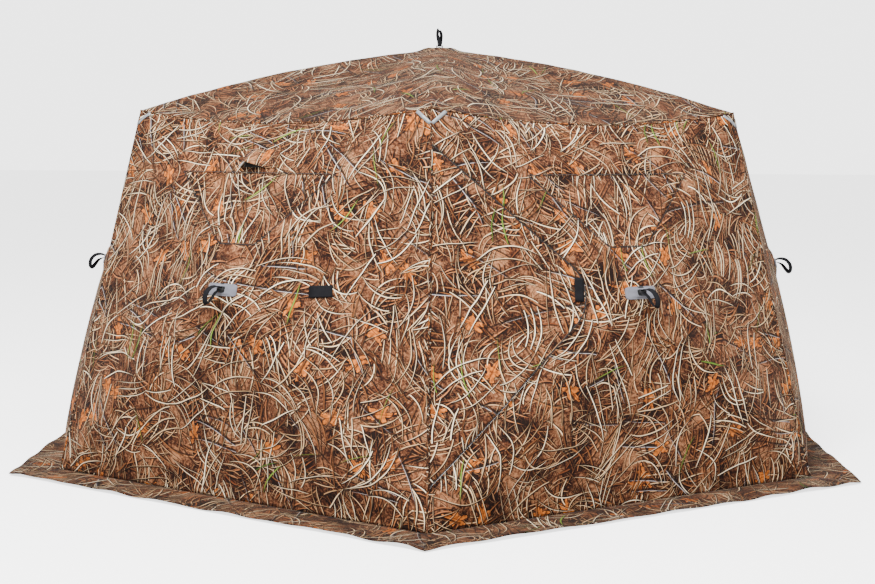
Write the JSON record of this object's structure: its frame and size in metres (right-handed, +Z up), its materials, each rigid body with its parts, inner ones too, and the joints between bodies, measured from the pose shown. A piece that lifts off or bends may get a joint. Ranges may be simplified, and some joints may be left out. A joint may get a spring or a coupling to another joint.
{
  "type": "pop up ground blind",
  "caption": "Six-sided pop-up ground blind: camouflage cloth shell on snap-through pole hubs, with a zipped door, two window flaps and a ground skirt.",
  "frame": {"origin": "on the ground, under the peak, at the middle of the six-sided plan", "axes": "+Z up; -Y towards the front corner, between the door wall and the vent wall; +X to the right seen from the front"},
  "size_m": [4.0614, 4.6894, 2.2248],
  "materials": {
    "wall_cloth": "printed reed camouflage, matte quilted polyester",
    "roof_cloth": "printed reed camouflage, matte quilted polyester",
    "door_cloth": "printed reed camouflage, matte quilted polyester",
    "skirt": "printed reed camouflage, coated oxford",
    "webbing": "black woven webbing",
    "pole": "satin black glass fibre",
    "hub": "moulded black nylon"
  },
  "bodies": {
    "shell": {"front_right_wall": "wall_cloth", "right_wall": "wall_cloth", "back_right_wall": "wall_cloth", "back_left_wall": "wall_cloth", "left_wall": "wall_cloth", "front_left_wall": "wall_cloth", "roof_canopy": "roof_cloth", "ground_skirt": "skirt"},
    "front_right_hub": {"front_right_hub": "hub"},
    "front_right_pole_lower_left": {"front_right_pole_lower_left": "pole"},
    "front_right_pole_lower_right": {"front_right_pole_lower_right": "pole"},
    "front_right_pole_upper_right": {"front_right_pole_upper_right": "pole"},
    "front_right_pole_upper_left": {"front_right_pole_upper_left": "pole"},
    "front_right_strap": {"front_right_pull_strap": "webbing"},
    "right_hub": {"right_hub": "hub"},
    "right_pole_lower_left": {"right_pole_lower_left": "pole"},
    "right_pole_lower_right": {"right_pole_lower_right": "pole"},
    "right_pole_upper_right": {"right_pole_upper_right": "pole"},
    "right_pole_upper_left": {"right_pole_upper_left": "pole"},
    "right_strap": {"right_pull_strap": "webbing"},
    "back_right_hub": {"back_right_hub": "hub"},
    "back_right_pole_lower_left": {"back_right_pole_lower_left": "pole"},
    "back_right_pole_lower_right": {"back_right_pole_lower_right": "pole"},
    "back_right_pole_upper_right": {"back_right_pole_upper_right": "pole"},
    "back_right_pole_upper_left": {"back_right_pole_upper_left": "pole"},
    "back_right_strap": {"back_right_pull_strap": "webbing"},
    "back_left_hub": {"back_left_hub": "hub"},
    "back_left_pole_lower_left": {"back_left_pole_lower_left": "pole"},
    "back_left_pole_lower_right": {"back_left_pole_lower_right": "pole"},
    "back_left_pole_upper_right": {"back_left_pole_upper_right": "pole"},
    "back_left_pole_upper_left": {"back_left_pole_upper_left": "pole"},
    "back_left_strap": {"back_left_pull_strap": "webbing"},
    "left_hub": {"left_hub": "hub"},
    "left_pole_lower_left": {"left_pole_lower_left": "pole"},
    "left_pole_lower_right": {"left_pole_lower_right": "pole"},
    "left_pole_upper_right": {"left_pole_upper_right": "pole"},
    "left_pole_upper_left": {"left_pole_upper_left": "pole"},
    "left_strap": {"left_pull_strap": "webbing"},
    "front_left_hub": {"front_left_hub": "hub"},
    "front_left_pole_lower_left": {"front_left_pole_lower_left": "pole"},
    "front_left_pole_lower_right": {"front_left_pole_lower_right": "pole"},
    "front_left_pole_upper_right": {"front_left_pole_upper_right": "pole"},
    "front_left_pole_upper_left": {"front_left_pole_upper_left": "pole"},
    "front_left_strap": {"front_left_pull_strap": "webbing"},
    "roof_hub": {"roof_hub": "hub"},
    "roof_pole_front": {"roof_pole_front": "pole"},
    "roof_pole_front_right": {"roof_pole_front_right": "pole"},
    "roof_pole_back_right": {"roof_pole_back_right": "pole"},
    "roof_pole_back": {"roof_pole_back": "pole"},
    "roof_pole_back_left": {"roof_pole_back_left": "pole"},
    "roof_pole_front_left": {"roof_pole_front_left": "pole"},
    "roof_strap": {"roof_pull_strap": "webbing"},
    "door_panel": {"door_panel": "wall_cloth"},
    "door": {"door_flap": "door_cloth"},
    "front_right_window_panel": {"front_right_window_panel": "wall_cloth"},
    "front_right_window_flap": {"front_right_window_flap": "wall_cloth"},
    "front_left_window_panel": {"front_left_window_panel": "wall_cloth"},
    "front_left_window_flap": {"front_left_window_flap": "wall_cloth"},
    "vent_hood": {"vent_hood": "wall_cloth"}
  },
  "joints": [
    {"name": "front_right_hub_pop", "type": "slide", "parent": "shell", "child": "front_right_hub", "axis": [-0.4887, 0.8465, -0.211], "range_m": [0, 0.434]},
    {"name": "front_right_pole_lower_left_pin", "type": "hinge", "parent": "front_right_hub", "child": "front_right_pole_lower_left", "pos_m": [0.88453, -1.58894, 0.92558], "axis": [-0.6532, -0.1947, 0.7317], "range_deg": [0, 18.9]},
    {"name": "front_right_pole_lower_right_pin", "type": "hinge", "parent": "front_right_hub", "child": "front_right_pole_lower_right", "pos_m": [0.9338, -1.56049, 0.92558], "axis": [-0.4952, -0.4683, -0.7317], "range_deg": [0, 18.9]},
    {"name": "front_right_pole_upper_right_pin", "type": "hinge", "parent": "front_right_hub", "child": "front_right_pole_upper_right", "pos_m": [0.92659, -1.55188, 0.97682], "axis": [0.6942, 0.2308, -0.6818], "range_deg": [0, 22.42]},
    {"name": "front_right_pole_upper_left_pin", "type": "hinge", "parent": "front_right_hub", "child": "front_right_pole_upper_left", "pos_m": [0.88068, -1.57839, 0.97682], "axis": [0.547, 0.4858, 0.6818], "range_deg": [0, 22.42]},
    {"name": "front_right_strap_lift", "type": "hinge", "parent": "front_right_hub", "child": "front_right_strap", "pos_m": [0.92459, -1.60143, 0.95801], "axis": [-0.866, -0.5, 0], "range_deg": [0, 60]},
    {"name": "right_hub_pop", "type": "slide", "parent": "shell", "child": "right_hub", "axis": [-0.9775, 0, -0.211], "range_m": [0, 0.434]},
    {"name": "right_pole_lower_left_pin", "type": "hinge", "parent": "right_hub", "child": "right_pole_lower_left", "pos_m": [1.81833, -0.02845, 0.92558], "axis": [-0.158, -0.663, 0.7317], "range_deg": [0, 18.9]},
    {"name": "right_pole_lower_right_pin", "type": "hinge", "parent": "right_hub", "child": "right_pole_lower_right", "pos_m": [1.81833, 0.02845, 0.92558], "axis": [0.158, -0.663, -0.7317], "range_deg": [0, 18.9]},
    {"name": "right_pole_upper_right_pin", "type": "hinge", "parent": "right_hub", "child": "right_pole_upper_right", "pos_m": [1.80726, 0.02651, 0.97682], "axis": [0.1472, 0.7166, -0.6818], "range_deg": [0, 22.42]},
    {"name": "right_pole_upper_left_pin", "type": "hinge", "parent": "right_hub", "child": "right_pole_upper_left", "pos_m": [1.80726, -0.02651, 0.97682], "axis": [-0.1472, 0.7166, 0.6818], "range_deg": [0, 22.42]},
    {"name": "right_strap_lift", "type": "hinge", "parent": "right_hub", "child": "right_strap", "pos_m": [1.84918, 0, 0.95801], "axis": [0, -1, 0], "range_deg": [0, 60]},
    {"name": "back_right_hub_pop", "type": "slide", "parent": "shell", "child": "back_right_hub", "axis": [-0.4887, -0.8465, -0.211], "range_m": [0, 0.434]},
    {"name": "back_right_pole_lower_left_pin", "type": "hinge", "parent": "back_right_hub", "child": "back_right_pole_lower_left", "pos_m": [0.9338, 1.56049, 0.92558], "axis": [0.4952, -0.4683, 0.7317], "range_deg": [0, 18.9]},
    {"name": "back_right_pole_lower_right_pin", "type": "hinge", "parent": "back_right_hub", "child": "back_right_pole_lower_right", "pos_m": [0.88453, 1.58894, 0.92558], "axis": [0.6532, -0.1947, -0.7317], "range_deg": [0, 18.9]},
    {"name": "back_right_pole_upper_right_pin", "type": "hinge", "parent": "back_right_hub", "child": "back_right_pole_upper_right", "pos_m": [0.88068, 1.57839, 0.97682], "axis": [-0.547, 0.4858, -0.6818], "range_deg": [0, 22.42]},
    {"name": "back_right_pole_upper_left_pin", "type": "hinge", "parent": "back_right_hub", "child": "back_right_pole_upper_left", "pos_m": [0.92659, 1.55188, 0.97682], "axis": [-0.6942, 0.2308, 0.6818], "range_deg": [0, 22.42]},
    {"name": "back_right_strap_lift", "type": "hinge", "parent": "back_right_hub", "child": "back_right_strap", "pos_m": [0.92459, 1.60143, 0.95801], "axis": [0.866, -0.5, 0], "range_deg": [0, 60]},
    {"name": "back_left_hub_pop", "type": "slide", "parent": "shell", "child": "back_left_hub", "axis": [0.4887, -0.8465, -0.211], "range_m": [0, 0.434]},
    {"name": "back_left_pole_lower_left_pin", "type": "hinge", "parent": "back_left_hub", "child": "back_left_pole_lower_left", "pos_m": [-0.88453, 1.58894, 0.92558], "axis": [0.6532, 0.1947, 0.7317], "range_deg": [0, 18.9]},
    {"name": "back_left_pole_lower_right_pin", "type": "hinge", "parent": "back_left_hub", "child": "back_left_pole_lower_right", "pos_m": [-0.9338, 1.56049, 0.92558], "axis": [0.4952, 0.4683, -0.7317], "range_deg": [0, 18.9]},
    {"name": "back_left_pole_upper_right_pin", "type": "hinge", "parent": "back_left_hub", "child": "back_left_pole_upper_right", "pos_m": [-0.92659, 1.55188, 0.97682], "axis": [-0.6942, -0.2308, -0.6818], "range_deg": [0, 22.42]},
    {"name": "back_left_pole_upper_left_pin", "type": "hinge", "parent": "back_left_hub", "child": "back_left_pole_upper_left", "pos_m": [-0.88068, 1.57839, 0.97682], "axis": [-0.547, -0.4858, 0.6818], "range_deg": [0, 22.42]},
    {"name": "back_left_strap_lift", "type": "hinge", "parent": "back_left_hub", "child": "back_left_strap", "pos_m": [-0.92459, 1.60143, 0.95801], "axis": [0.866, 0.5, 0], "range_deg": [0, 60]},
    {"name": "left_hub_pop", "type": "slide", "parent": "shell", "child": "left_hub", "axis": [0.9775, 0, -0.211], "range_m": [0, 0.434]},
    {"name": "left_pole_lower_left_pin", "type": "hinge", "parent": "left_hub", "child": "left_pole_lower_left", "pos_m": [-1.81833, 0.02845, 0.92558], "axis": [0.158, 0.663, 0.7317], "range_deg": [0, 18.9]},
    {"name": "left_pole_lower_right_pin", "type": "hinge", "parent": "left_hub", "child": "left_pole_lower_right", "pos_m": [-1.81833, -0.02845, 0.92558], "axis": [-0.158, 0.663, -0.7317], "range_deg": [0, 18.9]},
    {"name": "left_pole_upper_right_pin", "type": "hinge", "parent": "left_hub", "child": "left_pole_upper_right", "pos_m": [-1.80726, -0.02651, 0.97682], "axis": [-0.1472, -0.7166, -0.6818], "range_deg": [0, 22.42]},
    {"name": "left_pole_upper_left_pin", "type": "hinge", "parent": "left_hub", "child": "left_pole_upper_left", "pos_m": [-1.80726, 0.02651, 0.97682], "axis": [0.1472, -0.7166, 0.6818], "range_deg": [0, 22.42]},
    {"name": "left_strap_lift", "type": "hinge", "parent": "left_hub", "child": "left_strap", "pos_m": [-1.84918, 0, 0.95801], "axis": [0, 1, 0], "range_deg": [0, 60]},
    {"name": "front_left_hub_pop", "type": "slide", "parent": "shell", "child": "front_left_hub", "axis": [0.4887, 0.8465, -0.211], "range_m": [0, 0.434]},
    {"name": "front_left_pole_lower_left_pin", "type": "hinge", "parent": "front_left_hub", "child": "front_left_pole_lower_left", "pos_m": [-0.9338, -1.56049, 0.92558], "axis": [-0.4952, 0.4683, 0.7317], "range_deg": [0, 18.9]},
    {"name": "front_left_pole_lower_right_pin", "type": "hinge", "parent": "front_left_hub", "child": "front_left_pole_lower_right", "pos_m": [-0.88453, -1.58894, 0.92558], "axis": [-0.6532, 0.1947, -0.7317], "range_deg": [0, 18.9]},
    {"name": "front_left_pole_upper_right_pin", "type": "hinge", "parent": "front_left_hub", "child": "front_left_pole_upper_right", "pos_m": [-0.88068, -1.57839, 0.97682], "axis": [0.547, -0.4858, -0.6818], "range_deg": [0, 22.42]},
    {"name": "front_left_pole_upper_left_pin", "type": "hinge", "parent": "front_left_hub", "child": "front_left_pole_upper_left", "pos_m": [-0.92659, -1.55188, 0.97682], "axis": [0.6942, -0.2308, 0.6818], "range_deg": [0, 22.42]},
    {"name": "front_left_strap_lift", "type": "hinge", "parent": "front_left_hub", "child": "front_left_strap", "pos_m": [-0.92459, -1.60143, 0.95801], "axis": [-0.866, 0.5, 0], "range_deg": [0, 60]},
    {"name": "roof_hub_pop", "type": "slide", "parent": "shell", "child": "roof_hub", "axis": [0, 0, -1], "range_m": [0, 0.71]},
    {"name": "roof_pole_front_pin", "type": "hinge", "parent": "roof_hub", "child": "roof_pole_front", "pos_m": [0, -0.05, 2.078], "axis": [-1, 0, 0], "range_deg": [0, 25.73]},
    {"name": "roof_pole_front_right_pin", "type": "hinge", "parent": "roof_hub", "child": "roof_pole_front_right", "pos_m": [0.0433, -0.025, 2.078], "axis": [-0.5, -0.866, 0], "range_deg": [0, 25.73]},
    {"name": "roof_pole_back_right_pin", "type": "hinge", "parent": "roof_hub", "child": "roof_pole_back_right", "pos_m": [0.0433, 0.025, 2.078], "axis": [0.5, -0.866, 0], "range_deg": [0, 25.73]},
    {"name": "roof_pole_back_pin", "type": "hinge", "parent": "roof_hub", "child": "roof_pole_back", "pos_m": [0, 0.05, 2.078], "axis": [1, 0, 0], "range_deg": [0, 25.73]},
    {"name": "roof_pole_back_left_pin", "type": "hinge", "parent": "roof_hub", "child": "roof_pole_back_left", "pos_m": [-0.0433, 0.025, 2.078], "axis": [0.5, 0.866, 0], "range_deg": [0, 25.73]},
    {"name": "roof_pole_front_left_pin", "type": "hinge", "parent": "roof_hub", "child": "roof_pole_front_left", "pos_m": [-0.0433, -0.025, 2.078], "axis": [-0.5, 0.866, 0], "range_deg": [0, 25.73]},
    {"name": "roof_strap_lift", "type": "hinge", "parent": "roof_hub", "child": "roof_strap", "pos_m": [0, 0, 2.115], "axis": [-1, 0, 0], "range_deg": [-60, 60]},
    {"name": "door_panel_fold", "type": "hinge", "parent": "shell", "child": "door_panel", "pos_m": [0, -1.665, 1.745], "axis": [0, 0.2419, 0.9703], "range_deg": [0, 26.28]},
    {"name": "door_swing", "type": "hinge", "parent": "door_panel", "child": "door", "pos_m": [0, -1.665, 1.745], "axis": [0, -0.2419, -0.9703], "range_deg": [0, 115]},
    {"name": "front_right_window_panel_fold", "type": "hinge", "parent": "shell", "child": "front_right_window_panel", "pos_m": [1.44193, -0.8325, 1.745], "axis": [0.866, 0.5, 0], "range_deg": [0, 28.49]},
    {"name": "front_right_window_lift", "type": "hinge", "parent": "front_right_window_panel", "child": "front_right_window_flap", "pos_m": [1.51312, -0.95581, 1.45842], "axis": [-0.866, -0.5, 0], "range_deg": [0, 110]},
    {"name": "front_left_window_panel_fold", "type": "hinge", "parent": "shell", "child": "front_left_window_panel", "pos_m": [0, -1.665, 1.745], "axis": [0.866, -0.5, 0], "range_deg": [0, 28.49]},
    {"name": "front_left_window_lift", "type": "hinge", "parent": "front_left_window_panel", "child": "front_left_window_flap", "pos_m": [-0.07119, -1.78831, 1.45842], "axis": [-0.866, 0.5, 0], "range_deg": [0, 110]},
    {"name": "vent_hood_close", "type": "hinge", "parent": "front_left_window_panel", "child": "vent_hood", "pos_m": [-0.76836, -1.33085, 1.56319], "axis": [0.866, -0.5, 0], "range_deg": [0, 20]}
  ],
  "couplings": [
    {"joint": "front_right_pole_lower_left_pin", "follows": "front_right_hub_pop", "rad_per_m": 0.75954},
    {"joint": "front_right_pole_lower_right_pin", "follows": "front_right_hub_pop", "rad_per_m": 0.75954},
    {"joint": "front_right_pole_upper_right_pin", "follows": "front_right_hub_pop", "rad_per_m": 0.90117},
    {"joint": "front_right_pole_upper_left_pin", "follows": "front_right_hub_pop", "rad_per_m": 0.90117},
    {"joint": "right_pole_lower_left_pin", "follows": "right_hub_pop", "rad_per_m": 0.75954},
    {"joint": "right_pole_lower_right_pin", "follows": "right_hub_pop", "rad_per_m": 0.75954},
    {"joint": "right_pole_upper_right_pin", "follows": "right_hub_pop", "rad_per_m": 0.90117},
    {"joint": "right_pole_upper_left_pin", "follows": "right_hub_pop", "rad_per_m": 0.90117},
    {"joint": "back_right_pole_lower_left_pin", "follows": "back_right_hub_pop", "rad_per_m": 0.75954},
    {"joint": "back_right_pole_lower_right_pin", "follows": "back_right_hub_pop", "rad_per_m": 0.75954},
    {"joint": "back_right_pole_upper_right_pin", "follows": "back_right_hub_pop", "rad_per_m": 0.90117},
    {"joint": "back_right_pole_upper_left_pin", "follows": "back_right_hub_pop", "rad_per_m": 0.90117},
    {"joint": "back_left_pole_lower_left_pin", "follows": "back_left_hub_pop", "rad_per_m": 0.75954},
    {"joint": "back_left_pole_lower_right_pin", "follows": "back_left_hub_pop", "rad_per_m": 0.75954},
    {"joint": "back_left_pole_upper_right_pin", "follows": "back_left_hub_pop", "rad_per_m": 0.90117},
    {"joint": "back_left_pole_upper_left_pin", "follows": "back_left_hub_pop", "rad_per_m": 0.90117},
    {"joint": "left_pole_lower_left_pin", "follows": "left_hub_pop", "rad_per_m": 0.75954},
    {"joint": "left_pole_lower_right_pin", "follows": "left_hub_pop", "rad_per_m": 0.75954},
    {"joint": "left_pole_upper_right_pin", "follows": "left_hub_pop", "rad_per_m": 0.90117},
    {"joint": "left_pole_upper_left_pin", "follows": "left_hub_pop", "rad_per_m": 0.90117},
    {"joint": "front_left_pole_lower_left_pin", "follows": "front_left_hub_pop", "rad_per_m": 0.75954},
    {"joint": "front_left_pole_lower_right_pin", "follows": "front_left_hub_pop", "rad_per_m": 0.75954},
    {"joint": "front_left_pole_upper_right_pin", "follows": "front_left_hub_pop", "rad_per_m": 0.90117},
    {"joint": "front_left_pole_upper_left_pin", "follows": "front_left_hub_pop", "rad_per_m": 0.90117},
    {"joint": "roof_pole_front_pin", "follows": "roof_hub_pop", "rad_per_m": 0.63225},
    {"joint": "roof_pole_front_right_pin", "follows": "roof_hub_pop", "rad_per_m": 0.63225},
    {"joint": "roof_pole_back_right_pin", "follows": "roof_hub_pop", "rad_per_m": 0.63225},
    {"joint": "roof_pole_back_pin", "follows": "roof_hub_pop", "rad_per_m": 0.63225},
    {"joint": "roof_pole_back_left_pin", "follows": "roof_hub_pop", "rad_per_m": 0.63225},
    {"joint": "roof_pole_front_left_pin", "follows": "roof_hub_pop", "rad_per_m": 0.63225},
    {"joint": "door_panel_fold", "follows": "front_right_hub_pop", "rad_per_m": 1.0566},
    {"joint": "front_right_window_panel_fold", "follows": "front_right_hub_pop", "rad_per_m": 1.1451},
    {"joint": "front_left_window_panel_fold", "follows": "front_left_hub_pop", "rad_per_m": 1.1451}
  ]
}
